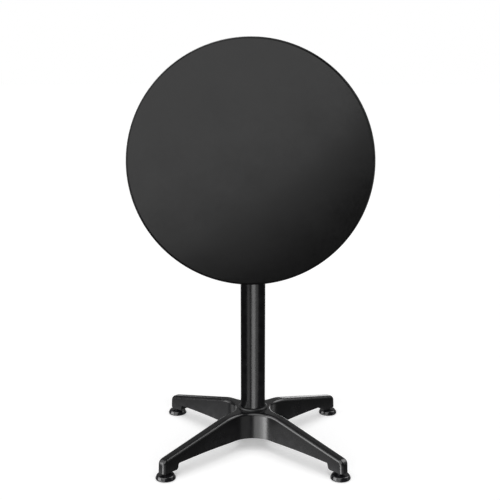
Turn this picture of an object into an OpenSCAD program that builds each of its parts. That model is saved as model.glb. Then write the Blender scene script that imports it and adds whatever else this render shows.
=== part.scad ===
// Flip-top bistro table: a round top that tips from flat to upright on a cast
// head, a tubular column held by a tie rod, and a cast four-arm base on
// levelling feet. The top is drawn stored upright, the way it rests.
// +Z is up, the origin is on the floor under the column's axis and the stored
// top faces -Y.

/* [Top] */
// Diameter of the round top
top_d = 600; // [560:10:640]
// Thickness of the top at its rim
top_t = 20; // [18:1:24]
// Thickness of the pressed top skin
skin_t = 1; // [0.8:0.1:1.2]
// Rounding of the rolled rim
rim_r = 6; // [4:0.5:8]
// Width of the rim's return under the top
rim_return = 14; // [10:1:20]
// Sideways offset of the top from the column's axis
top_offset = -6; // [-10:1:10]
// Height of the top's surface when it is flat
table_h = 746; // [700:1:780]

/* [Hinge] */
// Distance of the hinge axis in front of the column's axis
pivot_front = 39; // [38:1:42]
// Depth of the hinge axis below the top's surface
pivot_drop = 36; // [36:1:38]
// Radius of the hinge knuckle
knuckle_r = 11; // [10:0.5:11]
// Width of the column head between the hinge lugs
head_w = 44; // [40:1:46]
// Thickness of each hinge lug
lug_t = 10; // [8:1:12]
// Diameter of the hinge bolt
hinge_bolt_d = 10; // [8:1:10]
// Running clearance of the bolts in their bushes, on the radius
run_gap = 0.05; // [0.02:0.01:0.1]

/* [Bracket under the top] */
// Thickness of the bracket's plate
plate_t = 4; // [3:0.5:4]
// Distance of the outer screws from the bracket's centre
bracket_reach = 135; // [120:5:150]
// Half width of the bracket's arms
bracket_arm_r = 14; // [12:1:16]
// Depth of the bracket's rim below its plate
bracket_rim_h = 7; // [5:1:8]

/* [Latch] */
// Distance of the latch bolt behind the column's axis
latch_y = 42; // [42:0.5:43]
// Angle the lever swings through from released to locked
latch_swing = 28; // [26:1:32]
// Length of the lever from its bolt to its end
lever_l = 140; // [120:5:170]
// Thickness of the lever's plate
lever_t = 5; // [4:0.5:6]

/* [Column] */
// Outside diameter of the column tube
column_d = 63; // [60:0.5:64]
// Wall of the column tube
column_wall = 2; // [1.5:0.5:2.5]
// Diameter of the tie rod inside the column
tie_d = 12; // [10:1:12]

/* [Base] */
// Distance between neighbouring feet, centre to centre
foot_pitch = 424; // [400:2:460]
// Height of the hub's flat top
hub_h = 102.5; // [98:0.5:110]
// Distance from the axis where the arms start to fall
fall_start = 91; // [85:1:100]
// Fall of the arms' tops, as rise over run
arm_fall = 0.229; // [0.2:0.001:0.24]
// Height of the arms' undersides
arm_under = 34.5; // [32:0.5:38]
// Width of an arm where it would reach the axis
arm_root_w = 29.3; // [28:0.1:32]
// Width of an arm at its tip
arm_tip_w = 25; // [24:0.5:28]
// Radius of the hollow between two arms
hollow_r = 66; // [60:1:75]
// Wall of the casting
cast_wall = 4.2; // [3.5:0.1:5]
// Height of the foot bosses' lower faces
boss_z = 19; // [18:0.5:20]

/* [Feet] */
// Diameter of the foot pads
pad_d = 49.6; // [46:0.2:54]
// Height of the foot pads
pad_h = 12.3; // [11:0.1:12.4]
// Diameter of the foot studs
stud_d = 8; // [6:1:8]
// Length of a foot's stud above the floor
stud_top = 44; // [40:1:45]

/* [Hidden] */
$fn = 96;
black = "#26272a";
gloss_black = "#101012";
rubber_black = "#1a1a1a";
steel = "#a9adb2";
dark_steel = "#3a3b3d";
board = "#8a6b4a";
nylon = "#d9d6cc";
overcut = 1;

// Top and hinge heights
top_r = top_d / 2;
under_z = table_h - top_t;
plate_z = under_z - plate_t;
pivot_z = table_h - pivot_drop;
head_half = head_w / 2;
bush_flange_t = 1.2;
bush_r = 7.5;
bush_l = 20;
lug_in = head_half + bush_flange_t + 0.3;
lug_out = lug_in + lug_t;
hinge_r = hinge_bolt_d / 2;

// Column and head
column_r = column_d / 2;
column_foot_z = hub_h - 8.5;
column_top_z = pivot_z - 50;
head_flange_r = column_r + 2.5;
head_flange_t = 10;
seat_z = plate_z - 1;
head_back = 34;
catch_z = pivot_z - 10;
catch_depth = 10;
catch_h = 12;
tie_r = tie_d / 2;
tie_seat_z = 42;
tie_top_z = pivot_z - 12;

// Base
foot_r = foot_pitch / sqrt(2);
arm_end = foot_r + 16;
root_half = arm_root_w / 2;
tip_half = arm_tip_w / 2;
taper = (root_half - tip_half) / arm_end;
hollow_centre = (hollow_r / cos(atan(taper)) + root_half) / (sin(45) + taper * cos(45));
boss_in = foot_r - 30;
insert_r = 6;
insert_h = 16;
foot_angles = [225, 315, 45, 135];

// Bracket
bracket_half_x = 40;
bracket_front = 62;
bracket_back = 58;
screw_rs = [bracket_reach - 38, bracket_reach];
screw_r = 2.4;

// Latch
latch_z = pivot_z + 4.5;
latch_r = 7;
latch_bolt_r = 3;
latch_lug_in = lever_t / 2 + 1.5;
latch_lug_out = latch_lug_in + 6;
toe_top = 15;
toe_h = 8;
toe_reach = 12;

// Stop buffer, on the top's underside in front of the hinge
buffer_y = -(pivot_front + 38);
buffer_r = 8;
buffer_h = pivot_front + (under_z - pivot_z) - (column_r + 2.5) - 0.4;

// Helpers

function arc(cx, cy, r, a0, a1, n) =
    [for (i = [0:n]) [cx + r * cos(a0 + (a1 - a0) * i / n), cy + r * sin(a0 + (a1 - a0) * i / n)]];

// Turns what is drawn flat, as the table is used, up to its stored place
module stored() {
    translate([0, -pivot_front, pivot_z])
        rotate([90, 0, 0])
            translate([0, pivot_front, -pivot_z])
                children();
}

// Draws the latch locked and swings it to its released place
module released() {
    translate([0, latch_y, latch_z])
        rotate([latch_swing, 0, 0])
            children();
}

module at_feet() {
    for (a = foot_angles)
        rotate(a) translate([foot_r, 0, 0]) children();
}

module at_foot(i) {
    rotate(foot_angles[i - 1]) translate([foot_r, 0, 0]) children();
}

// A bar along X between two distances, centred on the X axis
module bar_x(r, x0, x1) {
    translate([x0, 0, 0]) rotate([0, 90, 0]) cylinder(r = r, h = x1 - x0);
}

module hex(across_flats, h) {
    cylinder(d = across_flats / cos(30), h = h, $fn = 6);
}

module ring(r_out, r_in, h) {
    difference() {
        cylinder(r = r_out, h = h);
        translate([0, 0, -overcut]) cylinder(r = r_in, h = h + 2 * overcut);
    }
}

// A side outline in Y and Z, drawn as [y, z], spread along X between two distances
module side_slab(x0, x1) {
    translate([x0, 0, 0]) rotate([90, 0, 90]) linear_extrude(x1 - x0) children();
}

module rounded_box(x0, x1, y0, y1, r) {
    translate([x0 + r, y0]) square([x1 - x0 - 2 * r, y1 - y0]);
    translate([x0, y0 + r]) square([x1 - x0, y1 - y0 - 2 * r]);
    for (x = [x0 + r, x1 - r], y = [y0 + r, y1 - r])
        translate([x, y]) circle(r = r);
}

// Base casting

function arm_top(r) = hub_h - arm_fall * (r - fall_start);

// The base seen from above, each wall moved in by an inset
module base_plan(inset, reach) {
    corner = 5;
    for (a = foot_angles)
        rotate(a) {
            polygon([
                [0, root_half - inset], [0, inset - root_half],
                [reach - corner, inset - tip_half], [reach - corner, tip_half - inset]
            ]);
            rounded_box(reach - 3 * corner, reach, inset - tip_half, tip_half - inset, corner);
        }
    difference() {
        circle(r = hollow_centre, $fn = 4);
        for (a = [0:90:270])
            rotate(a) translate([hollow_centre, 0]) circle(r = hollow_r + inset, $fn = 160);
    }
}

// Half section of the base's outside, from the axis to the arms' ends
module base_section() {
    fall_angle = atan(arm_fall);
    blend_r = 150;
    blend_l = blend_r * tan(fall_angle / 2);
    tip_r = 16;
    tip_lean = 1;
    tip_x = arm_end - tip_lean - tip_r;
    tip_z = arm_top(tip_x) - tip_r / cos(fall_angle);
    boss_r = 7;
    polygon(concat(
        [[0, arm_under], [boss_in - 3, arm_under]],
        arc(boss_in - 3, arm_under - 3, 3, 90, 0, 4),
        arc(boss_in + boss_r, boss_z + boss_r, boss_r, 180, 270, 6),
        [[arm_end, boss_z], [arm_end - tip_lean, tip_z]],
        arc(tip_x, tip_z, tip_r, 0, 90 - fall_angle, 8),
        arc(fall_start - blend_l, hub_h - blend_r, blend_r, 90 - fall_angle, 90, 6),
        [[0, hub_h]]
    ));
}

// Half section of the space inside the casting
module cavity_section() {
    lid = cast_wall + 1.5;
    cavity_end = boss_in - 2;
    socket_floor = column_foot_z - 7;
    polygon([
        [0, -overcut], [cavity_end, -overcut], [cavity_end, arm_top(cavity_end) - lid],
        [fall_start, hub_h - lid], [column_r + 7, hub_h - lid],
        [column_r + 7, socket_floor], [0, socket_floor]
    ]);
}

module base_ribs() {
    rib_t = 4;
    rib_z = 60;
    for (a = [0:90:270])
        rotate(a) translate([0, -rib_t / 2, rib_z]) cube([60, rib_t, hub_h - rib_z]);
    for (a = foot_angles, r = [135, 200])
        rotate(a) translate([r, -root_half, 46]) cube([rib_t, arm_root_w, 60]);
}

module star_base() {
    color(black)
    difference() {
        union() {
            intersection() {
                linear_extrude(hub_h + overcut) base_plan(0, arm_end);
                rotate_extrude($fn = 160) base_section();
            }
            translate([0, 0, tie_seat_z]) cylinder(r = 19, h = hub_h - tie_seat_z);
            translate([0, 0, column_foot_z - 2]) cylinder(r = column_r - column_wall - 0.1, h = 18);
        }
        difference() {
            intersection() {
                linear_extrude(hub_h) base_plan(cast_wall, boss_in - 2);
                rotate_extrude() cavity_section();
            }
            translate([0, 0, tie_seat_z]) cylinder(r = 19, h = hub_h);
            base_ribs();
        }
        difference() {
            translate([0, 0, column_foot_z]) cylinder(r = column_r + 0.1, h = 20);
            translate([0, 0, column_foot_z - overcut])
                cylinder(r = column_r - column_wall - 0.1, h = 30);
        }
        cylinder(r = tie_r + 0.5, h = 2 * hub_h);
        at_feet() {
            translate([0, 0, boss_z - overcut]) cylinder(r = insert_r, h = insert_h + overcut);
            cylinder(r = stud_d / 2 + 0.6, h = stud_top + 2.5);
        }
    }
}

module column_collar() {
    collar_out = column_r + 5.5;
    collar_in = column_r + 0.1;
    collar_h = 5.5;
    color(black)
    translate([0, 0, hub_h])
        rotate_extrude()
            polygon(concat(
                [[collar_in, 0], [collar_out, 0], [collar_out, collar_h - 3]],
                arc(collar_out - 3, collar_h - 3, 3, 0, 90, 8),
                [[collar_in, collar_h]]
            ));
}

module column_tube() {
    color(black)
    translate([0, 0, column_foot_z])
        ring(column_r, column_r - column_wall, column_top_z - column_foot_z);
}

// Tie rod and its fastenings under the hub

module tie_rod() {
    color(steel)
    translate([0, 0, tie_seat_z - 19]) cylinder(r = tie_r, h = tie_top_z - tie_seat_z + 19);
}

module tie_rod_washer() {
    color(steel)
    translate([0, 0, tie_seat_z - 3]) ring(17, tie_r + 0.4, 3);
}

module tie_rod_spring_washer() {
    color(steel)
    translate([0, 0, tie_seat_z - 5.5])
        difference() {
            ring(tie_r + 4, tie_r + 0.3, 2.5);
            translate([0, -0.8, -overcut]) cube([tie_r + 6, 1.6, 5]);
        }
}

module tie_rod_nut() {
    color(steel)
    translate([0, 0, tie_seat_z - 16])
        difference() {
            hex(18, 10.5);
            translate([0, 0, -overcut]) cylinder(r = tie_r + 0.05, h = 13);
        }
}

// Column head

module head_side() {
    front = column_r + 2.5;
    back = head_back;
    top_z = seat_z;
    low = column_top_z;
    tangent = knuckle_r * sin(45);
    polygon([
        [-front, low], [-front, pivot_z - 21],
        [-pivot_front - tangent, pivot_z - tangent], [-pivot_front, pivot_z + knuckle_r],
        [-pivot_front, top_z], [back - 4, top_z], [back, top_z - 4], [back, catch_z],
        [back - catch_depth, catch_z], [back - catch_depth, catch_z - catch_h],
        [back - 4, catch_z - catch_h], [back - 10, low]
    ]);
    translate([-pivot_front, pivot_z]) circle(r = knuckle_r);
}

module column_head() {
    spigot_h = 30;
    pocket_x = 5;
    color(black)
    difference() {
        union() {
            side_slab(-head_half, head_half) head_side();
            translate([0, 0, column_top_z]) cylinder(r = head_flange_r, h = head_flange_t);
            translate([0, 0, column_top_z - spigot_h])
                cylinder(r = column_r - column_wall - 0.1, h = spigot_h + overcut);
        }
        translate([0, -pivot_front, pivot_z])
            bar_x(bush_r + 0.02, -head_half - overcut, head_half + overcut);
        translate([0, 0, column_top_z - spigot_h - overcut])
            cylinder(r = tie_r + 0.05, h = tie_top_z - column_top_z + spigot_h + 3);
        translate([0, 0, column_top_z - spigot_h - overcut])
            ring(column_r - column_wall - 5, tie_r + 5, spigot_h + 4);
        for (side = [-1, 1])
            translate([side * (head_half - pocket_x / 2), 0, 0])
                side_slab(-pocket_x / 2 - 0.01, pocket_x / 2 + 0.01)
                    rounded_box(-22, 20, column_top_z + 16, pivot_z + 3, 5);
        at_seats() cylinder(r = 6.05, h = 10);
    }
}

module at_seats() {
    for (x = [-13, 13], y = [-16, 24])
        translate([x, y, seat_z - 3]) children();
}

module seat_pads() {
    color(rubber_black)
    at_seats() cylinder(r = 6, h = 3.8);
}

// A flanged bush in the head's knuckle, its flange on the outside
module hinge_bush(side) {
    color(nylon)
    translate([0, -pivot_front, pivot_z])
        mirror([side < 0 ? 1 : 0, 0, 0])
            difference() {
                union() {
                    bar_x(bush_r, head_half - bush_l, head_half);
                    bar_x(knuckle_r - 0.5, head_half, head_half + bush_flange_t);
                }
                bar_x(hinge_r + run_gap, head_half - bush_l - overcut, lug_out);
            }
}

module hinge_bush_left() { hinge_bush(-1); }
module hinge_bush_right() { hinge_bush(1); }

// Parts in the arms' bosses

module foot_inserts() {
    color(steel)
    at_feet()
        translate([0, 0, boss_z])
            ring(insert_r - 0.05, stud_d / 2 + run_gap, insert_h);
}

module foot_lock_nuts() {
    nut_h = boss_z - pad_h - 0.2;
    color(dark_steel)
    at_feet()
        translate([0, 0, boss_z - nut_h])
            difference() {
                hex(13, nut_h);
                translate([0, 0, -overcut]) cylinder(r = stud_d / 2 + run_gap, h = 10);
            }
}

// Round top

// Half section of the top's outer form, moved in by an inset
module top_section(inset) {
    r = rim_r - inset;
    polygon(concat(
        [[0, inset]],
        arc(top_r - rim_r, rim_r, r, -90, 0, 8),
        arc(top_r - rim_r, top_t - rim_r, r, 0, 90, 8),
        [[0, top_t - inset]]
    ));
}

module at_top() {
    stored() translate([top_offset, 0, under_z]) children();
}

module top_skin() {
    color(black)
    at_top()
        difference() {
            rotate_extrude($fn = 180) top_section(0);
            rotate_extrude($fn = 180) top_section(skin_t);
            translate([0, 0, -overcut])
                cylinder(r = top_r - rim_return, h = skin_t + 2 * overcut, $fn = 180);
        }
}

module top_core() {
    color(board)
    difference() {
        at_top() rotate_extrude($fn = 180) top_section(skin_t);
        screw_bores();
    }
}

module backing_panel() {
    color(black)
    difference() {
        at_top() cylinder(r = top_r - rim_return - 0.2, h = skin_t, $fn = 180);
        screw_bores();
    }
}

// Holes for the wood screws in the board
module screw_bores() {
    stored() {
        at_screws() translate([0, 0, -overcut]) cylinder(r = screw_r + 0.05, h = 20);
        translate([0, buffer_y, under_z - overcut]) cylinder(r = screw_r + 0.05, h = 15);
    }
}

// Bracket under the top

module at_screws() {
    for (a = foot_angles, r = screw_rs)
        rotate(a) translate([r, 0, plate_z]) children();
}

// The bracket seen from above, each edge moved in by an inset
module bracket_plan(inset) {
    half = bracket_arm_r - inset;
    rounded_box(-bracket_half_x + inset, bracket_half_x - inset,
                -bracket_front + inset, bracket_back - inset, 14 - inset);
    for (a = foot_angles)
        rotate(a) {
            polygon([[0, half + 8], [0, -half - 8], [bracket_reach, -half], [bracket_reach, half]]);
            translate([bracket_reach, 0]) circle(r = half);
        }
}

module bracket_lug(x0, x1, y, z, r) {
    side_slab(x0, x1) {
        translate([y, z]) circle(r = r);
        translate([y - r, z]) square([2 * r, plate_z + overcut - z]);
    }
}

module top_bracket() {
    rim_t = 3.2;
    color(black)
    stored()
        difference() {
            union() {
                translate([0, 0, plate_z]) linear_extrude(plate_t) bracket_plan(0);
                translate([0, 0, plate_z - bracket_rim_h])
                    linear_extrude(bracket_rim_h + overcut)
                        difference() {
                            bracket_plan(0);
                            bracket_plan(rim_t);
                        }
                for (side = [-1, 1]) {
                    lug_x = side * (lug_in + lug_t / 2);
                    latch_x = side * (latch_lug_in + 3);
                    bracket_lug(lug_x - lug_t / 2, lug_x + lug_t / 2, -pivot_front, pivot_z, knuckle_r);
                    bracket_lug(latch_x - 3, latch_x + 3, latch_y, latch_z, latch_r);
                }
                at_screws() cylinder(r = 7, h = plate_t);
            }
            translate([0, -pivot_front, pivot_z]) bar_x(hinge_r + 0.1, -lug_out - 1, lug_out + 1);
            translate([0, latch_y, latch_z])
                bar_x(latch_bolt_r + 0.1, -latch_lug_out - 1, latch_lug_out + 1);
            at_screws() translate([0, 0, -overcut]) cylinder(r = screw_r + 0.4, h = 2 * plate_t);
            // Gap in the rim for the latch lever
            translate([-8, bracket_back - 8, plate_z - bracket_rim_h - overcut])
                cube([16, 12, bracket_rim_h + overcut]);
        }
}

// A pan-head wood screw, its head below and its point up
module wood_screw(head_r, l) {
    difference() {
        translate([0, 0, -2.8]) cylinder(r = head_r, h = 2.8);
        for (a = [0, 90])
            rotate(a) translate([-head_r * 0.6, -0.5, -3.8]) cube([head_r * 1.2, 1, 2.4]);
    }
    cylinder(r = screw_r, h = l - 3);
    translate([0, 0, l - 3]) cylinder(r1 = screw_r, r2 = 0.6, h = 3);
}

module bracket_screws() {
    color(dark_steel)
    stored() at_screws() wood_screw(5, 18);
}

module hinge_bolt() {
    washer_t = 2;
    color(dark_steel)
    stored()
        translate([0, -pivot_front, pivot_z]) {
            bar_x(hinge_r, -lug_out - washer_t, lug_out + 13);
            translate([-lug_out - washer_t - 6.4, 0, 0]) rotate([0, 90, 0]) hex(16, 6.4);
        }
}

module hinge_nut() {
    washer_t = 2;
    nut_h = 8;
    color(dark_steel)
    stored()
        translate([lug_out + washer_t, -pivot_front, pivot_z])
            difference() {
                union() {
                    rotate([0, 90, 0]) hex(16, nut_h);
                    bar_x(6.6, nut_h - overcut, nut_h + 2.2);
                }
                bar_x(hinge_r + 0.05, -overcut, 2 * nut_h);
            }
}

module hinge_washers() {
    color(dark_steel)
    stored()
        translate([0, -pivot_front, pivot_z])
            for (x = [-lug_out - 2, lug_out])
                translate([x, 0, 0]) rotate([0, 90, 0]) ring(knuckle_r - 0.5, hinge_r + 0.2, 2);
}

// The rubber buffer that meets the head when the top stands up
module stop_buffer() {
    color(rubber_black)
    stored()
        translate([0, buffer_y, under_z - buffer_h])
            difference() {
                rotate_extrude()
                    polygon(concat(
                        [[0, 0]],
                        arc(buffer_r - 2, 2, 2, -90, 0, 6),
                        [[buffer_r + 2, buffer_h], [0, buffer_h]]
                    ));
                translate([0, 0, -overcut]) cylinder(r = 5.2, h = 8 + overcut);
                cylinder(r = screw_r + 0.05, h = buffer_h + overcut);
            }
}

module buffer_screw() {
    color(dark_steel)
    stored()
        translate([0, buffer_y, under_z - buffer_h + 8])
            wood_screw(5, buffer_h - 8 + 13);
}

// Latch

module latch_bolt() {
    color(dark_steel)
    stored()
        translate([0, latch_y, latch_z]) {
            bar_x(latch_bolt_r, -latch_lug_out, latch_lug_out + 6.5);
            translate([-latch_lug_out - 4, 0, 0]) rotate([0, 90, 0]) hex(10, 4);
        }
}

module latch_nut() {
    color(dark_steel)
    stored()
        translate([latch_lug_out, latch_y, latch_z])
            difference() {
                rotate([0, 90, 0]) hex(10, 5);
                bar_x(latch_bolt_r + 0.05, -overcut, 7);
            }
}

module latch_washers() {
    color(nylon)
    stored()
        translate([0, latch_y, latch_z])
            for (x = [-latch_lug_in + 0.1, lever_t / 2 + 0.2])
                translate([x, 0, 0])
                    rotate([0, 90, 0]) ring(latch_r - 0.8, latch_bolt_r + 0.1, 1.2);
}

// The lever's outline around its bolt, locked, as [y, z]
module lever_side() {
    arm_half = 4.5;
    circle(r = latch_r);
    polygon([
        [-latch_r, 0], [-latch_r, -toe_top], [-toe_reach, -toe_top],
        [-toe_reach, -toe_top - toe_h], [3, -toe_top - toe_h], [latch_r, -2]
    ]);
    rotate(-latch_swing) {
        translate([0, -arm_half]) square([lever_l - arm_half, 2 * arm_half]);
        translate([lever_l - arm_half, 0]) circle(r = arm_half);
    }
}

module latch_lever() {
    color(dark_steel)
    stored()
        released()
            difference() {
                side_slab(-lever_t / 2, lever_t / 2) lever_side();
                bar_x(latch_bolt_r + run_gap, -lever_t, lever_t);
            }
}

// The moulded grip pushed over the lever's end
module lever_grip() {
    grip_l = 75;
    grip_half_z = 7;
    grip_half_x = 8;
    grip_end = lever_l + 4;
    color(rubber_black)
    stored()
        released()
            rotate([-latch_swing, 0, 0])
                difference() {
                    intersection() {
                        side_slab(-grip_half_x, grip_half_x)
                            rounded_box(grip_end - grip_l, grip_end, -grip_half_z, grip_half_z, 6.5);
                        translate([0, 0, -grip_half_z])
                            linear_extrude(2 * grip_half_z)
                                rounded_box(-grip_half_x, grip_half_x, grip_end - grip_l, grip_end, 7);
                    }
                    side_slab(-lever_t / 2 - 0.02, lever_t / 2 + 0.02) {
                        translate([lever_l - grip_l - 10, -4.52])
                            square([grip_l + 10 - 4.5, 9.04]);
                        translate([lever_l - 4.5, 0]) circle(r = 4.52);
                    }
                }
}

// Levelling feet

module foot_pad(i) {
    rim = pad_d / 2;
    shoulder = rim - 4;
    color(gloss_black)
    at_foot(i)
        difference() {
            rotate_extrude()
                polygon(concat(
                    [[0, 0.8], [rim - 1.2, 0.8]],
                    arc(rim - 4, 4.8, 4, -60, 25, 6),
                    arc(shoulder - 2.5, pad_h - 3.7, 2.5, 20, 85, 5),
                    [[11, pad_h - 0.6], [9.5, pad_h], [0, pad_h]]
                ));
            translate([0, 0, -overcut]) cylinder(r = rim - 5, h = 2.6 + overcut);
            cylinder(r = 8.4, h = 7.7);
            cylinder(r = stud_d / 2 + run_gap, h = 20);
        }
}

module foot_sole(i) {
    color(rubber_black)
    at_foot(i) cylinder(r = pad_d / 2 - 5.2, h = 2.5);
}

module foot_stud(i) {
    color(steel)
    at_foot(i) {
        translate([0, 0, 4.2]) cylinder(r = 8, h = 3.2);
        translate([0, 0, 4.2]) cylinder(r = stud_d / 2, h = stud_top - 4.2);
    }
}

module foot_pad_1() { foot_pad(1); }
module foot_pad_2() { foot_pad(2); }
module foot_pad_3() { foot_pad(3); }
module foot_pad_4() { foot_pad(4); }
module foot_sole_1() { foot_sole(1); }
module foot_sole_2() { foot_sole(2); }
module foot_sole_3() { foot_sole(3); }
module foot_sole_4() { foot_sole(4); }
module foot_stud_1() { foot_stud(1); }
module foot_stud_2() { foot_stud(2); }
module foot_stud_3() { foot_stud(3); }
module foot_stud_4() { foot_stud(4); }

star_base();
column_collar();
column_tube();
tie_rod();
tie_rod_nut();
tie_rod_washer();
tie_rod_spring_washer();
column_head();
hinge_bush_left();
hinge_bush_right();
seat_pads();
foot_inserts();
foot_lock_nuts();
top_skin();
top_core();
backing_panel();
top_bracket();
bracket_screws();
hinge_bolt();
hinge_nut();
hinge_washers();
stop_buffer();
buffer_screw();
latch_bolt();
latch_nut();
latch_washers();
latch_lever();
lever_grip();
foot_pad_1();
foot_pad_2();
foot_pad_3();
foot_pad_4();
foot_sole_1();
foot_sole_2();
foot_sole_3();
foot_sole_4();
foot_stud_1();
foot_stud_2();
foot_stud_3();
foot_stud_4();
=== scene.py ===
"""Looks for the flip-top bistro table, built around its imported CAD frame, in metres."""
import math

import bmesh
import bpy
from mathutils import Matrix, Vector


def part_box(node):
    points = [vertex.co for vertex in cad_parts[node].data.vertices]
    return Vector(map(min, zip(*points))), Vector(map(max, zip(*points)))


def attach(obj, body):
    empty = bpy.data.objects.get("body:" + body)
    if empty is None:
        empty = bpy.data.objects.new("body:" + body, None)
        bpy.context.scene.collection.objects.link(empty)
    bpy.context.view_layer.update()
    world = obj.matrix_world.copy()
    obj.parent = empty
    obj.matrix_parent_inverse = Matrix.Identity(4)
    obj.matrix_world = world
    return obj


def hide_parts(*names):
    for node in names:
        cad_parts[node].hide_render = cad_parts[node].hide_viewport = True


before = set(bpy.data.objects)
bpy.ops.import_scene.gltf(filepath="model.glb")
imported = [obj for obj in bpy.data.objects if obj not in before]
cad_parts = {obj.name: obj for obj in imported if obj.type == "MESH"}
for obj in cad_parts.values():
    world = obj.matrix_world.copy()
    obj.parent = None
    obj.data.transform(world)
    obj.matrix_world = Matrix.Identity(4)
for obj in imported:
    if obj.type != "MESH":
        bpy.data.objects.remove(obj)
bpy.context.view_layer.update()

MM = 0.001

# ---------------------------------------------------------------- places taken from the frame

skin_lo, skin_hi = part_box("top_skin")
tube_lo, tube_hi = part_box("column_tube")
collar_lo, collar_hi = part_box("column_collar")
base_lo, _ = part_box("star_base")
pad_lo, pad_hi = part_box("foot_pad_1")
TUBE_R = (tube_hi.x - tube_lo.x) / 2
SOCKET_R = TUBE_R + 0.1 * MM
COLLAR_R = (collar_hi.x - collar_lo.x) / 2
HUB_H = collar_lo.z
BOSS_Z = base_lo.z
FOOT_R = math.hypot((pad_lo.x + pad_hi.x) / 2, (pad_lo.y + pad_hi.y) / 2)
TOP_R = (skin_hi.x - skin_lo.x) / 2

# ---------------------------------------------------------------- mesh helpers

SMOOTH_ANGLE = math.radians(35)


def even_normals(piece):
    """Shades large faces flat right up to their rounded edges."""
    weighted = piece.modifiers.new("even_normals", "WEIGHTED_NORMAL")
    weighted.keep_sharp = True


def add_piece(name, bm, body, material, node):
    """Turns a bmesh into a smooth-shaded piece that rides on a body and stands for a CAD node."""
    bmesh.ops.recalc_face_normals(bm, faces=bm.faces)
    mesh = bpy.data.meshes.new(name)
    bm.to_mesh(mesh)
    bm.free()
    mesh.polygons.foreach_set("use_smooth", [True] * len(mesh.polygons))
    mesh.set_sharp_from_angle(angle=SMOOTH_ANGLE)
    piece = bpy.data.objects.new(name, mesh)
    bpy.context.scene.collection.objects.link(piece)
    mesh.materials.append(material)
    even_normals(piece)
    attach(piece, body)
    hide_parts(node)


def lathe(profile, segments=128, place=Matrix.Identity(4)):
    """A bmesh turned about Z from (radius, height) points; a radius of 0 closes the end."""
    bm = bmesh.new()
    rings = []
    for radius, height in profile:
        if radius == 0:
            rings.append([bm.verts.new(place @ Vector((0, 0, height)))])
            continue
        turns = (math.tau * k / segments for k in range(segments))
        rings.append([
            bm.verts.new(place @ Vector((radius * math.cos(t), radius * math.sin(t), height)))
            for t in turns
        ])
    for a, b in zip(rings, rings[1:]):
        for k in range(segments):
            n = (k + 1) % segments
            if len(a) == 1:
                bm.faces.new((a[0], b[k], b[n]))
            elif len(b) == 1:
                bm.faces.new((a[k], b[0], a[n]))
            else:
                bm.faces.new((a[k], b[k], b[n], a[n]))
    return bm


def arc(cx, cy, radius, start, end, steps):
    """Points on an arc about (cx, cy), with its angles in degrees."""
    turns = (math.radians(start + (end - start) * k / steps) for k in range(steps + 1))
    return [(cx + radius * math.cos(t), cy + radius * math.sin(t)) for t in turns]


# ---------------------------------------------------------------- materials

# The sockets of a Mix node that mixes colours.
MIX_AMOUNT, MIX_FIRST, MIX_SECOND, MIX_RESULT = 0, 6, 7, 2


class Finish:
    """A procedural material: one Principled shader fed by noise in the piece's own space."""

    def __init__(self, name, colour, roughness, metallic=0.0):
        self.material = bpy.data.materials.new(name)
        self.material.use_nodes = True
        self.nodes = self.material.node_tree.nodes
        self.links = self.material.node_tree.links
        self.shader = self.nodes["Principled BSDF"]
        self.shader.inputs["Metallic"].default_value = metallic
        self.place = self.node("ShaderNodeTexCoord").outputs["Object"]
        self.colour = (*colour, 1)
        self.roughness = roughness
        self.height = None

    def node(self, kind, **settings):
        made = self.nodes.new(kind)
        for key, value in settings.items():
            setattr(made, key, value)
        return made

    def feed(self, value, socket):
        """Links another node's output to a socket, or sets the socket to a constant."""
        if isinstance(value, bpy.types.NodeSocket):
            self.links.new(value, socket)
        else:
            socket.default_value = value

    def noise(self, scale, detail, stretch=(1, 1, 1)):
        mapping = self.node("ShaderNodeMapping")
        mapping.inputs["Scale"].default_value = stretch
        self.links.new(self.place, mapping.inputs["Vector"])
        made = self.node("ShaderNodeTexNoise")
        made.inputs["Scale"].default_value = scale
        made.inputs["Detail"].default_value = detail
        self.links.new(mapping.outputs[0], made.inputs["Vector"])
        return made.outputs["Fac"]

    def remap(self, value, span, result):
        """Stretches the values of a span to fill the result's span, and clamps the rest."""
        made = self.node("ShaderNodeMapRange")
        for index, number in enumerate((*span, *result), start=1):
            made.inputs[index].default_value = number
        self.links.new(value, made.inputs[0])
        return made.outputs[0]

    def maths(self, operation, a, b):
        made = self.node("ShaderNodeMath", operation=operation)
        self.feed(a, made.inputs[0])
        self.feed(b, made.inputs[1])
        return made.outputs[0]

    def tint(self, amount, colour):
        """Mixes a second colour in by an amount that varies over the surface."""
        mix = self.node("ShaderNodeMix", data_type="RGBA")
        self.links.new(amount, mix.inputs[MIX_AMOUNT])
        self.feed(self.colour, mix.inputs[MIX_FIRST])
        mix.inputs[MIX_SECOND].default_value = (*colour, 1)
        self.colour = mix.outputs[MIX_RESULT]

    def vary_roughness(self, value, amount):
        shift = self.remap(value, (0.3, 0.7), (-amount, amount))
        self.roughness = self.maths("ADD", self.roughness, shift)

    def add_height(self, value, depth):
        scaled = self.maths("MULTIPLY", value, depth)
        self.height = scaled if self.height is None else self.maths("ADD", self.height, scaled)

    def edges(self):
        """Near 1 on outward edges and 0 elsewhere."""
        pointiness = self.node("ShaderNodeNewGeometry").outputs["Pointiness"]
        return self.remap(pointiness, (0.52, 0.62), (0, 1))

    def done(self):
        self.feed(self.colour, self.shader.inputs["Base Color"])
        self.feed(self.roughness, self.shader.inputs["Roughness"])
        if self.height is not None:
            bump = self.node("ShaderNodeBump")
            bump.inputs["Strength"].default_value = 1
            bump.inputs["Distance"].default_value = 1
            self.links.new(self.height, bump.inputs["Height"])
            self.links.new(bump.outputs[0], self.shader.inputs["Normal"])
        return self.material


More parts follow.
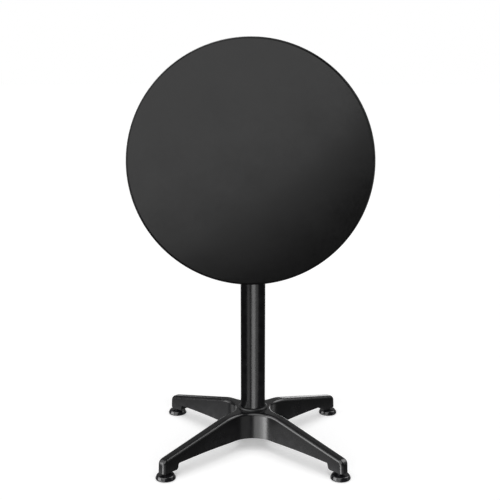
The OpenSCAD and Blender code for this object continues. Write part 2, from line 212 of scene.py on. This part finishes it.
def powder_coat(name, colour, roughness, peel, grain=850):
    """Baked powder coat: a fine orange peel, slow roughness changes, paler edges and specks."""
    made = Finish(name, colour, roughness)
    made.vary_roughness(made.noise(scale=9, detail=2), 0.025)
    made.vary_roughness(made.noise(scale=140, detail=3), 0.02)
    made.add_height(made.noise(scale=grain, detail=2), peel)
    made.add_height(made.noise(scale=grain * 0.3, detail=2), peel * 1.6)
    edges = made.edges()
    patches = made.remap(made.noise(scale=60, detail=4), (0.35, 0.7), (0.2, 1))
    wear = made.maths("MULTIPLY", edges, patches)
    made.tint(made.maths("MULTIPLY", wear, 0.25), (0.09, 0.09, 0.095))
    specks = made.remap(made.noise(scale=1900, detail=1), (0.66, 0.72), (0, 0.35))
    made.tint(specks, tuple(c * 1.8 for c in colour))
    return made.done()


def moulded(name, colour, roughness, grain=1400, depth=0.012 * MM, edge=(0.05, 0.05, 0.05)):
    """Moulded plastic or rubber with a fine skin, slight waves and paler edges."""
    made = Finish(name, colour, roughness)
    made.vary_roughness(made.noise(scale=30, detail=3), 0.05)
    made.add_height(made.noise(scale=grain, detail=3), depth)
    made.add_height(made.noise(scale=45, detail=2), depth * 2)
    made.tint(made.maths("MULTIPLY", made.edges(), 0.3), edge)
    return made.done()


def metal(name, colour, roughness):
    """Plated steel with faint drawn lines and cloudy plating."""
    made = Finish(name, colour, roughness, metallic=1.0)
    drawn = (1, 1, 14)
    made.vary_roughness(made.noise(scale=420, detail=3, stretch=drawn), 0.06)
    made.vary_roughness(made.noise(scale=35, detail=3), 0.05)
    made.add_height(made.noise(scale=900, detail=2, stretch=drawn), 0.006 * MM)
    clouds = made.remap(made.noise(scale=60, detail=4), (0.35, 0.65), (0, 0.3))
    made.tint(clouds, tuple(c * 0.72 for c in colour))
    return made.done()


def fibreboard(name):
    """The board inside the top, with its fibres lying one way."""
    made = Finish(name, (0.36, 0.25, 0.15), 0.85)
    fibres = made.remap(made.noise(scale=700, detail=5, stretch=(1, 1, 6)), (0.4, 0.7), (0, 0.6))
    made.tint(fibres, (0.2, 0.13, 0.07))
    made.add_height(made.noise(scale=900, detail=4), 0.05 * MM)
    return made.done()


cast_black = powder_coat("cast_powder_coat", (0.0035, 0.0035, 0.0038), 0.25, peel=0.004 * MM)
collar_black = powder_coat("collar_powder_coat", (0.004, 0.004, 0.0043), 0.42, peel=0.01 * MM)
tube_black = powder_coat("tube_powder_coat", (0.0055, 0.0055, 0.0065), 0.25, peel=0.006 * MM)
top_black = powder_coat("top_coat", (0.009, 0.009, 0.0092), 0.16, peel=0.002 * MM, grain=1300)
backing_black = moulded("backing_laminate", (0.018, 0.018, 0.019), 0.6, depth=0.03 * MM)
pad_black = moulded("pad_plastic", (0.006, 0.006, 0.007), 0.14, depth=0.004 * MM)
grip_black = moulded("grip_plastic", (0.016, 0.016, 0.016), 0.5, depth=0.04 * MM)
rubber_black = moulded("rubber", (0.018, 0.018, 0.018), 0.75, grain=900, depth=0.03 * MM)
nylon = moulded("nylon", (0.62, 0.6, 0.54), 0.45, edge=(0.8, 0.78, 0.72))
zinc = metal("zinc_steel", (0.55, 0.56, 0.58), 0.34)
black_steel = metal("black_steel", (0.045, 0.045, 0.048), 0.36)
board = fibreboard("board")

# ---------------------------------------------------------------- cast base

# An arm's plan: half widths at the middle of the table and at the tip, and the hollows between arms.
ARM_END = FOOT_R + 16 * MM
ROOT_HALF = 14.65 * MM
TIP_HALF = 12.5 * MM
HOLLOW_R = 66 * MM
# Its top: level over the hub, then a straight fall, with a rounding between them and one at the tip.
FALL = 0.229
FALL_START = 91 * MM
BLEND_R = 150 * MM
TIP_R = 16 * MM
TIP_LEAN = 1 * MM
EDGE_R = 8 * MM
# Its underside: the height of its edge, the rise of that edge, and the foot's boss with its roundings.
UNDER = 34.5 * MM
ARCH = 1.6 * MM
BOSS_IN = FOOT_R - 30 * MM
BOSS_R = 7 * MM
FLARE = 4.5 * MM
FLARE_R = 3 * MM
# The casting's walls, its socket for the column, the boss for the tie rod and the ribs.
WALL = 4.2 * MM
LID = 5.7 * MM
CAVITY_END = BOSS_IN - 7 * MM
SOCKET_FLOOR = HUB_H - 8.5 * MM
SOCKET_UNDER = HUB_H - 15.5 * MM
SOCKET_OUT_R = TUBE_R + 7 * MM
ROD_HOLE_R = 6.5 * MM
TIE_BOSS_R = 19 * MM
TIE_BOSS_Z = 42 * MM
RIB = 4 * MM
HUB_RIB_Z = 60 * MM
ARM_RIB_Z = 46 * MM
ARM_RIB_PLACES = (135 * MM, 200 * MM)
# How finely the mesh is divided, and the labels of the corners whose edges are rounded later.
ARC_STEPS = 20
AXIS_STEPS = 8
ARCH_STEPS = 12
PLAIN, TOP_EDGE, LOW_EDGE = 0, 1, 2

taper = (ROOT_HALF - TIP_HALF) / ARM_END
fall_angle = math.atan(FALL)
blend_l = BLEND_R * math.tan(fall_angle / 2)
slope = math.sqrt(1 + taper ** 2)
hollow_d = (HOLLOW_R * slope + ROOT_HALF) / (math.sin(math.pi / 4) * (1 + taper))
tip_x = ARM_END - TIP_LEAN - TIP_R
tip_z = HUB_H - FALL * (tip_x - FALL_START) - TIP_R / math.cos(fall_angle)


def base_top(r):
    """Height of the base's upper surface at a distance along an arm."""
    if r <= FALL_START - blend_l:
        return HUB_H
    if r < FALL_START + blend_l * math.cos(fall_angle):
        run = r - (FALL_START - blend_l)
        return HUB_H - BLEND_R + math.sqrt(BLEND_R ** 2 - run ** 2)
    if r <= tip_x + TIP_R * math.sin(fall_angle):
        return HUB_H - FALL * (r - FALL_START)
    return tip_z + math.sqrt(max(TIP_R ** 2 - (r - tip_x) ** 2, 0))


def under_profile():
    """The underside from the tip to the hub, as falling (r, z) points."""
    points = [(ARM_END, BOSS_Z)]
    points += arc(BOSS_IN + BOSS_R, BOSS_Z + BOSS_R, BOSS_R, 270, 180, 6)
    points += arc(BOSS_IN - FLARE, UNDER - FLARE_R, FLARE_R, 0, 90, 3)
    start = points[-1][0]
    for k in range(1, ARCH_STEPS + 1):
        r = start + (FALL_START - start) * k / ARCH_STEPS
        points.append((r, UNDER + ARCH * math.sin(math.pi * k / ARCH_STEPS)))
    points.append((0, UNDER))
    return points


UNDER_POINTS = under_profile()


def base_under(r):
    """Height of the underside at a distance along an arm."""
    for (r1, z1), (r0, z0) in zip(UNDER_POINTS, UNDER_POINTS[1:]):
        if r >= r0:
            return z0 + (z1 - z0) * (r - r0) / (r1 - r0) if r1 > r0 else z1
    return UNDER


def half_width(r, inset=0.0):
    """Half an arm's width at a distance along it."""
    return ROOT_HALF - taper * r - inset


def arm_stations(tangent_r):
    """Plan points of the arm's cross-sections, from its tip to where the hollow starts."""
    rounding = arc(tip_x, tip_z, TIP_R, 0, 90 - math.degrees(fall_angle), 9)
    # the rounding's first point is the top of the end face, which leans back to meet it
    along = {round(r, 7) for r, _ in rounding[1:]}
    along |= {round(r, 7) for r, _ in UNDER_POINTS if tangent_r < r <= ARM_END}
    along |= {round(CAVITY_END, 7)}
    along |= {round(FALL_START + blend_l * k / 4, 7) for k in range(1, 5)}
    stations = []
    for r in sorted((r for r in along if r > tangent_r + 0.1 * MM), reverse=True):
        stations.append({
            "r": r, "out": Vector((r, half_width(r))), "in": Vector((r, half_width(r, WALL))),
            "axis": Vector((r, 0)), "axis_in": Vector((r, 0)),
        })
    return stations


def hollow_stations(hollow, tangent_r):
    """Plan points round the hollow, with partners along the arm's axis and then round the socket."""
    start_angle = -90 - math.degrees(math.atan(taper))

    def partner(k, circle_r):
        if k <= AXIS_STEPS:
            return Vector((tangent_r + (circle_r - tangent_r) * k / AXIS_STEPS, 0))
        turn = math.pi / 4 * (k - AXIS_STEPS) / (ARC_STEPS - AXIS_STEPS)
        return Vector((math.cos(turn), math.sin(turn))) * circle_r

    stations = []
    for k in range(ARC_STEPS + 1):
        angle = math.radians(start_angle + (-135 - start_angle) * k / ARC_STEPS)
        way = Vector((math.cos(angle), math.sin(angle)))
        stations.append({
            "r": None, "out": hollow + way * HOLLOW_R, "in": hollow + way * (HOLLOW_R + WALL),
            "axis": partner(k, SOCKET_R), "axis_in": partner(k, SOCKET_OUT_R),
        })
    return stations


def add_vert(bm, kind, point, z, label=PLAIN):
    """A vertex above a plan point, labelled for the rounding of the edges."""
    v = bm.verts.new((point.x, point.y, z))
    v[kind] = label
    return v


def base_row(bm, kind, station, lean):
    """The vertices of one cross-section; lean draws the top of the arm's end face back."""
    def distance(point):
        return station["r"] if station["r"] is not None else point.length

    def over(key):
        point = station[key] - lean
        return point, base_top(distance(point) - lean.x)

    def lid(key):
        point = station[key]
        return point, min(base_top(distance(point)), HUB_H) - LID

    def under(key):
        point = station[key]
        return point, base_under(distance(point))

    row = {
        "top_axis": add_vert(bm, kind, *over("axis")),
        "top_out": add_vert(bm, kind, *over("out"), TOP_EDGE),
        "low_out": add_vert(bm, kind, *under("out"), LOW_EDGE),
    }
    if station["r"] is not None and station["r"] > CAVITY_END + 0.001 * MM:
        row["low_axis"] = add_vert(bm, kind, *under("axis"))
    else:
        row["low_in"] = add_vert(bm, kind, *under("in"))
        row["lid_in"] = add_vert(bm, kind, *lid("in"))
        row["lid_axis"] = add_vert(bm, kind, *lid("axis_in"))
    return row


def join_rows(bm, kind, a, b):
    """The faces between two cross-sections, solid over the foot and hollow nearer the hub."""
    bm.faces.new((a["top_axis"], a["top_out"], b["top_out"], b["top_axis"]))
    bm.faces.new((a["top_out"], a["low_out"], b["low_out"], b["top_out"]))
    if "low_axis" in b:
        bm.faces.new((a["low_out"], a["low_axis"], b["low_axis"], b["low_out"]))
    elif "low_axis" in a:
        end = add_vert(bm, kind, Vector((CAVITY_END, 0)), base_under(CAVITY_END))
        bm.faces.new((a["low_out"], a["low_axis"], end, b["low_in"], b["low_out"]))
        bm.faces.new((end, b["lid_axis"], b["lid_in"], b["low_in"]))
    else:
        bm.faces.new((a["low_out"], a["low_in"], b["low_in"], b["low_out"]))
        bm.faces.new((a["low_in"], a["lid_in"], b["lid_in"], b["low_in"]))
        bm.faces.new((a["lid_in"], a["lid_axis"], b["lid_axis"], b["lid_in"]))


def base_eighth(bm, kind):
    """One eighth of the base: half an arm and half of the hollow beside it, arm along +X."""
    hollow = Vector((hollow_d, hollow_d)) * math.sin(math.pi / 4)
    tangent_r = hollow.x - HOLLOW_R * taper / slope
    stations = arm_stations(tangent_r) + hollow_stations(hollow, tangent_r)
    rows = []
    for station in stations:
        lean = Vector((TIP_LEAN if station["r"] == stations[0]["r"] else 0, 0))
        rows.append(base_row(bm, kind, station, lean))
    for a, b in zip(rows, rows[1:]):
        join_rows(bm, kind, a, b)
    tip = rows[0]
    bm.faces.new((tip["top_axis"], tip["top_out"], tip["low_out"], tip["low_axis"]))
    # the socket above the hub and the boss below it, down to the hole for the tie rod
    hub = rows[-(ARC_STEPS - AXIS_STEPS + 1):]
    rim = (ROD_HOLE_R, TIE_BOSS_Z)
    socket = [(SOCKET_R, SOCKET_FLOOR), (ROD_HOLE_R, SOCKET_FLOOR), rim]
    boss = [(SOCKET_OUT_R, SOCKET_UNDER), (TIE_BOSS_R, SOCKET_UNDER), (TIE_BOSS_R, TIE_BOSS_Z), rim]
    for key, path in (("top_axis", socket), ("lid_axis", boss)):
        last = [row[key] for row in hub]
        ways = [v.co.xy.normalized() for v in last]
        for radius, z in path:
            ring = [add_vert(bm, kind, way * radius, z) for way in ways]
            for k in range(len(ring) - 1):
                bm.faces.new((last[k], ring[k], ring[k + 1], last[k + 1]))
            last = ring


def rib(bm, turn, r, length, width, low_z, high_z):
    """A stiffening rib inside the casting, centred at a distance r along a direction."""
    made = bmesh.ops.create_cube(bm, size=1)
    bmesh.ops.scale(bm, vec=(length, width, high_z - low_z), verts=made["verts"])
    middle = Matrix.Translation((r, 0, (low_z + high_z) / 2))
    place = Matrix.Rotation(math.radians(turn), 4, "Z") @ middle
    bmesh.ops.transform(bm, matrix=place, verts=made["verts"])


def base_ribs(bm):
    """The ribs under the hub and across each arm."""
    lap = 1 * MM
    hub_out = hollow_d - HOLLOW_R - lap
    for turn in (0, 90, 180, 270):
        middle = (TIE_BOSS_R - lap + hub_out) / 2
        rib(bm, turn, middle, hub_out - TIE_BOSS_R + lap, RIB, HUB_RIB_Z, HUB_H - LID + lap)
        for r in ARM_RIB_PLACES:
            width = 2 * (half_width(r, WALL) + lap)
            rib(bm, turn + 45, r, RIB, width, ARM_RIB_Z, base_top(r) - LID + lap)


def everything(bm):
    """All of a bmesh's geometry, as the mesh operators take it."""
    return list(bm.verts) + list(bm.edges) + list(bm.faces)


def turned_copy(bm, geometry, matrix):
    """Copies geometry and moves the copy by a matrix."""
    copy = bmesh.ops.duplicate(bm, geom=geometry)["geom"]
    verts = [g for g in copy if isinstance(g, bmesh.types.BMVert)]
    bmesh.ops.transform(bm, matrix=matrix, verts=verts)


def rounded_edges(bm, kind):
    """The edges along the top of each arm and hollow, and the corners of each arm's end face."""
    def labels(e):
        return {v[kind] for v in e.verts}

    def reach(v):
        return max(abs(v.co.x + v.co.y), abs(v.co.x - v.co.y)) / math.sqrt(2)

    def is_top(e):
        sharp = len(e.link_faces) == 2 and e.calc_face_angle(0) > math.radians(30)
        return labels(e) == {TOP_EDGE} and sharp

    def is_tip(e):
        at_end = max(reach(v) for v in e.verts) > ARM_END - 0.1 * MM
        return labels(e) == {TOP_EDGE, LOW_EDGE} and at_end

    return [e for e in bm.edges if is_top(e)] + [e for e in bm.edges if is_tip(e)]


def make_base():
    bm = bmesh.new()
    kind = bm.verts.layers.int.new("kind")
    base_eighth(bm, kind)
    turned_copy(bm, everything(bm), Matrix.Scale(-1, 4, (0, 1, 0)))
    quarter = everything(bm)
    for turn in (90, 180, 270):
        turned_copy(bm, quarter, Matrix.Rotation(math.radians(turn), 4, "Z"))
    to_corners = Matrix.Rotation(math.radians(45), 3, "Z")
    bmesh.ops.rotate(bm, verts=bm.verts, matrix=to_corners, cent=(0, 0, 0))
    bmesh.ops.remove_doubles(bm, verts=bm.verts, dist=0.02 * MM)
    bmesh.ops.recalc_face_normals(bm, faces=bm.faces)
    bmesh.ops.dissolve_limit(bm, angle_limit=math.radians(0.4), verts=bm.verts, edges=bm.edges)
    bmesh.ops.bevel(
        bm, geom=rounded_edges(bm, kind), offset=EDGE_R, offset_type="OFFSET", segments=6,
        profile=0.5, affect="EDGES", clamp_overlap=False, loop_slide=True)
    base_ribs(bm)
    add_piece("star_base_casting", bm, "stand", cast_black, "star_base")


make_base()

# ---------------------------------------------------------------- column

def make_column():
    edge = 0.6 * MM
    bore = TUBE_R - 2 * MM
    profile = [(bore, tube_lo.z), (TUBE_R, tube_lo.z)]
    profile += arc(TUBE_R - edge, tube_hi.z - edge, edge, 0, 90, 4)
    profile += [(bore, tube_hi.z), (bore, tube_lo.z)]
    add_piece("column", lathe(profile), "stand", tube_black, "column_tube")


def make_collar():
    edge = 0.6 * MM
    chamfer = 0.5 * MM
    round_r = 2.6 * MM
    top = collar_hi.z
    profile = [(SOCKET_R, HUB_H), (COLLAR_R - chamfer, HUB_H), (COLLAR_R, HUB_H + chamfer)]
    profile += arc(COLLAR_R - round_r, top - round_r, round_r, 0, 90, 8)
    profile += arc(SOCKET_R + edge, top - edge, edge, 90, 180, 4)
    profile += [(SOCKET_R, HUB_H)]
    add_piece("collar", lathe(profile), "stand", collar_black, "column_collar")


make_column()
make_collar()

# ---------------------------------------------------------------- round top

def make_top():
    """The pressing: a flat face, a rolled rim with a bead behind it, and the sheet's inner side."""
    rim_r = 6 * MM
    sheet = 1 * MM
    bead_r = 0.5 * MM
    bead_at = TOP_R - 13.5 * MM
    face_rings = 6
    depth = skin_hi.y - skin_lo.y
    front = depth - rim_r
    edge_x = TOP_R - rim_r
    middle = Vector(((skin_lo.x + skin_hi.x) / 2, skin_hi.y, (skin_lo.z + skin_hi.z) / 2))
    place = Matrix.Translation(middle) @ Matrix.Rotation(math.radians(90), 4, "X")
    profile = [(edge_x * k / face_rings, depth) for k in range(face_rings)]
    profile += arc(edge_x, front, rim_r, 90, 0, 12)
    profile += arc(edge_x, rim_r, rim_r, 0, -90, 12)
    profile += arc(bead_at, bead_r, bead_r, 270, 90, 6)
    profile += arc(edge_x, rim_r, rim_r - sheet, -90, 0, 12)
    profile += arc(edge_x, front, rim_r - sheet, 0, 90, 12)
    profile += [(edge_x * k / face_rings, depth - sheet) for k in reversed(range(face_rings))]
    bm = lathe(profile, 256, place)
    add_piece("top_pressing", bm, "top", top_black, "top_skin")


make_top()

# ---------------------------------------------------------------- levelling feet

def make_foot(number):
    """The moulded pad: a recess for the sole, a rounded skirt, a dished top and a bored middle."""
    node = f"foot_pad_{number}"
    low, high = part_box(node)
    centre = (low + high) / 2
    place = Matrix.Translation((centre.x, centre.y, 0))
    rim = (high.x - low.x) / 2
    top = high.z
    sole_r = rim - 5.0 * MM
    sole_z = 1.6 * MM
    pocket_r = 8.4 * MM
    pocket_z = 8 * MM
    hole_r = 4.06 * MM
    profile = [(pocket_r, sole_z), (sole_r, sole_z), (sole_r, 0.8 * MM)]
    profile += arc(rim - 3 * MM, 3.8 * MM, 3 * MM, -90, 20, 8)
    profile += arc(rim - 5.4 * MM, top - 3.6 * MM, 3.4 * MM, 25, 88, 8)
    profile += [(13 * MM, top - 0.25 * MM), (10 * MM, top), (hole_r, top), (hole_r, pocket_z)]
    profile += [(pocket_r, pocket_z), (pocket_r, sole_z)]
    bm = lathe(profile, 96, place)
    add_piece(f"{node}_moulding", bm, f"foot_{number}", pad_black, node)


for foot in range(1, 5):
    make_foot(foot)

# ---------------------------------------------------------------- CAD pieces kept, with softened edges

# Each node's material, and the width in mm that its edges are softened by.
CAD_FINISH = {
    "column_head": (cast_black, 1.6), "top_bracket": (cast_black, 1.0),
    "tie_rod": (zinc, 0), "tie_rod_nut": (zinc, 0.5), "tie_rod_washer": (zinc, 0.3),
    "tie_rod_spring_washer": (zinc, 0.2),
    "hinge_bush_left": (nylon, 0.3), "hinge_bush_right": (nylon, 0.3),
    "seat_pads": (rubber_black, 0.4),
    "foot_inserts": (zinc, 0.2), "foot_lock_nuts": (black_steel, 0.4),
    "top_core": (board, 0), "backing_panel": (backing_black, 0.2), "bracket_screws": (black_steel, 0.3),
    "hinge_bolt": (black_steel, 0.5), "hinge_nut": (black_steel, 0.5),
    "hinge_washers": (black_steel, 0.3),
    "stop_buffer": (rubber_black, 0.4), "buffer_screw": (black_steel, 0.2),
    "latch_bolt": (black_steel, 0.4), "latch_nut": (black_steel, 0.4), "latch_washers": (nylon, 0.2),
    "latch_lever": (black_steel, 0.7), "lever_grip": (grip_black, 0.6),
}
for number in range(1, 5):
    CAD_FINISH[f"foot_sole_{number}"] = (rubber_black, 0.3)
    CAD_FINISH[f"foot_stud_{number}"] = (zinc, 0.3)


def soften(node, material, edge_mm):
    """Gives a CAD node its material and rounds its sharp edges with modifiers."""
    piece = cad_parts[node]
    for slot in piece.material_slots:
        slot.material = material
    weld = piece.modifiers.new("weld", "WELD")
    weld.merge_threshold = 0.005 * MM
    if edge_mm:
        bevel = piece.modifiers.new("edges", "BEVEL")
        bevel.width = edge_mm * MM
        bevel.segments = 3
        bevel.limit_method = "ANGLE"
        bevel.angle_limit = SMOOTH_ANGLE
        bevel.harden_normals = False
    even_normals(piece)


for node, (material, edge_mm) in CAD_FINISH.items():
    soften(node, material, edge_mm)

# ---------------------------------------------------------------- studio

# Soft round lamps at infinity. Azimuth 0 is the camera's side and 90 is +X; angles are in degrees.
# Each has a name, azimuth, elevation, half width, radiance and the group of pieces it lights.
LAMPS = [
    ("disc_front", -12.5, 10.5, 25, 1.25, "top"),
    ("rim_left", -80, 5, 40, 0.6, "top"),
    ("rim_right", 80, 5, 40, 0.6, "top"),
    ("rim_above", 0, 80, 35, 0.6, "top"),
    ("rear_high", -150, 40, 26, 2.6, "top"),
    ("rear_low", 165, -14, 28, 1.3, "top"),
    ("column_front", 6, -16, 17, 3.9, "column"),
    ("column_shoulder", 38, -16, 12, 1.0, "column"),
    ("column_left", -42, -20, 13, 1.0, "column"),
    ("column_rear_left", -172, -15, 16, 0.7, "column"),
    ("column_rear_right", 172, -15, 16, 0.7, "column"),
    ("base_hollow", -34, -22, 28, 2.8, "base"),
    ("base_hollow_bright", -48, -22, 16, 2.0, "base"),
    ("base_hollow_core", -54, -20, 8, 5.5, "base"),
    ("base_hollow_edge", -50, 14, 18, 1.5, "base"),
    ("base_hollow_right", 34, -22, 20, 0.42, "base"),
    ("base_front_edge", -20, 45, 30, 2.6, "base"),
    ("base_left_low", -76, -22, 18, 0.55, "base"),
    ("base_right_low", 94, -22, 20, 0.05, "base"),
    ("base_left_edge", -74, 12, 20, 6.0, "base"),
    ("base_left_high", -98, 41, 18, 1.6, "base"),
    ("base_right_edge", 88, 14, 16, 0.6, "base"),
    ("base_right_high", 104, 45, 22, 4.5, "base"),
    ("base_grazing_left", -160, 0, 13, 1.2, "base"),
    ("base_grazing_right", 162, 0, 13, 2.5, "base"),
    ("base_rear_left", -135, -22, 20, 0.5, "base"),
    ("base_rear_right", 135, -22, 20, 0.4, "base"),
    ("base_rear_high", 180, 42, 30, 0.2, "base"),
    ("floor_above", 0, 90, 25, 1.68, "floor"),
    ("floor_front", 0, 50, 10, 7.0, "floor"),
    ("floor_left", -60, 60, 15, 1.75, "floor"),
    ("floor_right", 60, 60, 15, 1.75, "floor"),
    ("floor_low_left", -20, 22, 8, 6.9, "floor"),
    ("floor_low_right", 20, 22, 8, 6.9, "floor"),
]
# These two graze the tops of the arms from behind, through the column.
SHADOWLESS = ("base_grazing_left", "base_grazing_right")
AMBIENT = 0.04
FLOOR_GLOW = 0.375
FLOOR_HALF = 15
# Pieces no higher than this at rest are lit with the base, and the column has its own lamps.
BASE_GROUP_TOP = 0.3


def direction(azimuth, elevation):
    """The way towards a lamp."""
    a, e = math.radians(azimuth), math.radians(elevation)
    return Vector((math.sin(a) * math.cos(e), -math.cos(a) * math.cos(e), math.sin(e)))


def make_lamp(name, azimuth, elevation, half_width, radiance, lit, casting):
    """A lamp for the pieces of one collection, shaded by those of another, or by all if it is None."""
    lamp = bpy.data.lights.new(name, "SUN")
    lamp.angle = math.radians(2 * half_width)
    lamp.energy = radiance * math.pi * math.sin(math.radians(half_width)) ** 2
    lamp.use_shadow = name not in SHADOWLESS
    holder = bpy.data.objects.new(name, lamp)
    bpy.context.scene.collection.objects.link(holder)
    holder.rotation_euler = direction(azimuth, elevation).to_track_quat("Z", "Y").to_euler()
    holder.visible_camera = False
    holder.light_linking.receiver_collection = lit
    if casting:
        holder.light_linking.blocker_collection = casting


def collect(name, pieces):
    group = bpy.data.collections.new(name)
    for piece in pieces:
        group.objects.link(piece)
    return group


def make_lamps(floor):
    pieces = [o for o in bpy.context.scene.objects if o.type == "MESH" and o != floor]
    column = [o for o in pieces if o.name in ("column", "column_tube")]
    low = [o for o in pieces if o not in column and highest(o) < BASE_GROUP_TOP]
    high = [o for o in pieces if o not in column and o not in low]
    groups = {
        "top": collect("lit_top", high), "column": collect("lit_column", column),
        "base": collect("lit_base", low), "floor": collect("lit_floor", [floor]),
    }
    for name, azimuth, elevation, half_width, radiance, group in LAMPS:
        casting = groups["base"] if group == "floor" else None
        make_lamp(name, azimuth, elevation, half_width, radiance, groups[group], casting)


def highest(piece):
    """The height of a piece's highest point at rest."""
    return max((piece.matrix_world @ Vector(corner)).z for corner in piece.bound_box)


def make_floor():
    """A pale floor that glows enough to read as white and isn't mirrored in the table."""
    mesh = bpy.data.meshes.new("floor")
    corners = [(x * FLOOR_HALF, y * FLOOR_HALF, 0) for x, y in ((-1, -1), (1, -1), (1, 1), (-1, 1))]
    mesh.from_pydata(corners, [], [(0, 1, 2, 3)])
    floor = bpy.data.objects.new("floor", mesh)
    bpy.context.scene.collection.objects.link(floor)
    made = Finish("floor_white", (0.8, 0.8, 0.8), 0.9)
    made.vary_roughness(made.noise(scale=3, detail=2), 0.03)
    made.shader.inputs["Emission Color"].default_value = (1, 1, 1, 1)
    made.shader.inputs["Emission Strength"].default_value = FLOOR_GLOW
    made.shader.inputs["Specular IOR Level"].default_value = 0
    mesh.materials.append(made.done())
    floor.visible_glossy = False
    floor.visible_diffuse = False
    floor.visible_shadow = False
    return floor


def make_world():
    """An even, dim studio that the camera itself sees as white."""
    world = bpy.data.worlds.new("studio")
    bpy.context.scene.world = world
    world.use_nodes = True
    nodes, links = world.node_tree.nodes, world.node_tree.links
    dim = nodes["Background"]
    dim.inputs["Color"].default_value = (1, 1, 1, 1)
    dim.inputs["Strength"].default_value = AMBIENT
    white = nodes.new("ShaderNodeBackground")
    white.inputs["Color"].default_value = (1, 1, 1, 1)
    seen = nodes.new("ShaderNodeLightPath")
    mix = nodes.new("ShaderNodeMixShader")
    links.new(seen.outputs["Is Camera Ray"], mix.inputs[0])
    links.new(dim.outputs[0], mix.inputs[1])
    links.new(white.outputs[0], mix.inputs[2])
    links.new(mix.outputs[0], nodes["World Output"].inputs[0])


def make_camera():
    """The photo's camera, from the fit of the table's outlines."""
    pitch = 12.73
    data = bpy.data.cameras.new("camera")
    data.sensor_width = 36
    data.lens = 73.58
    camera = bpy.data.objects.new("camera", data)
    bpy.context.scene.collection.objects.link(camera)
    camera.location = (-7.5 * MM, -2.509, 1.088)
    camera.rotation_euler = (math.radians(90 - pitch), 0, 0)
    bpy.context.scene.camera = camera


make_lamps(make_floor())
make_world()
make_camera()
bpy.context.scene.view_settings.view_transform = "Standard"
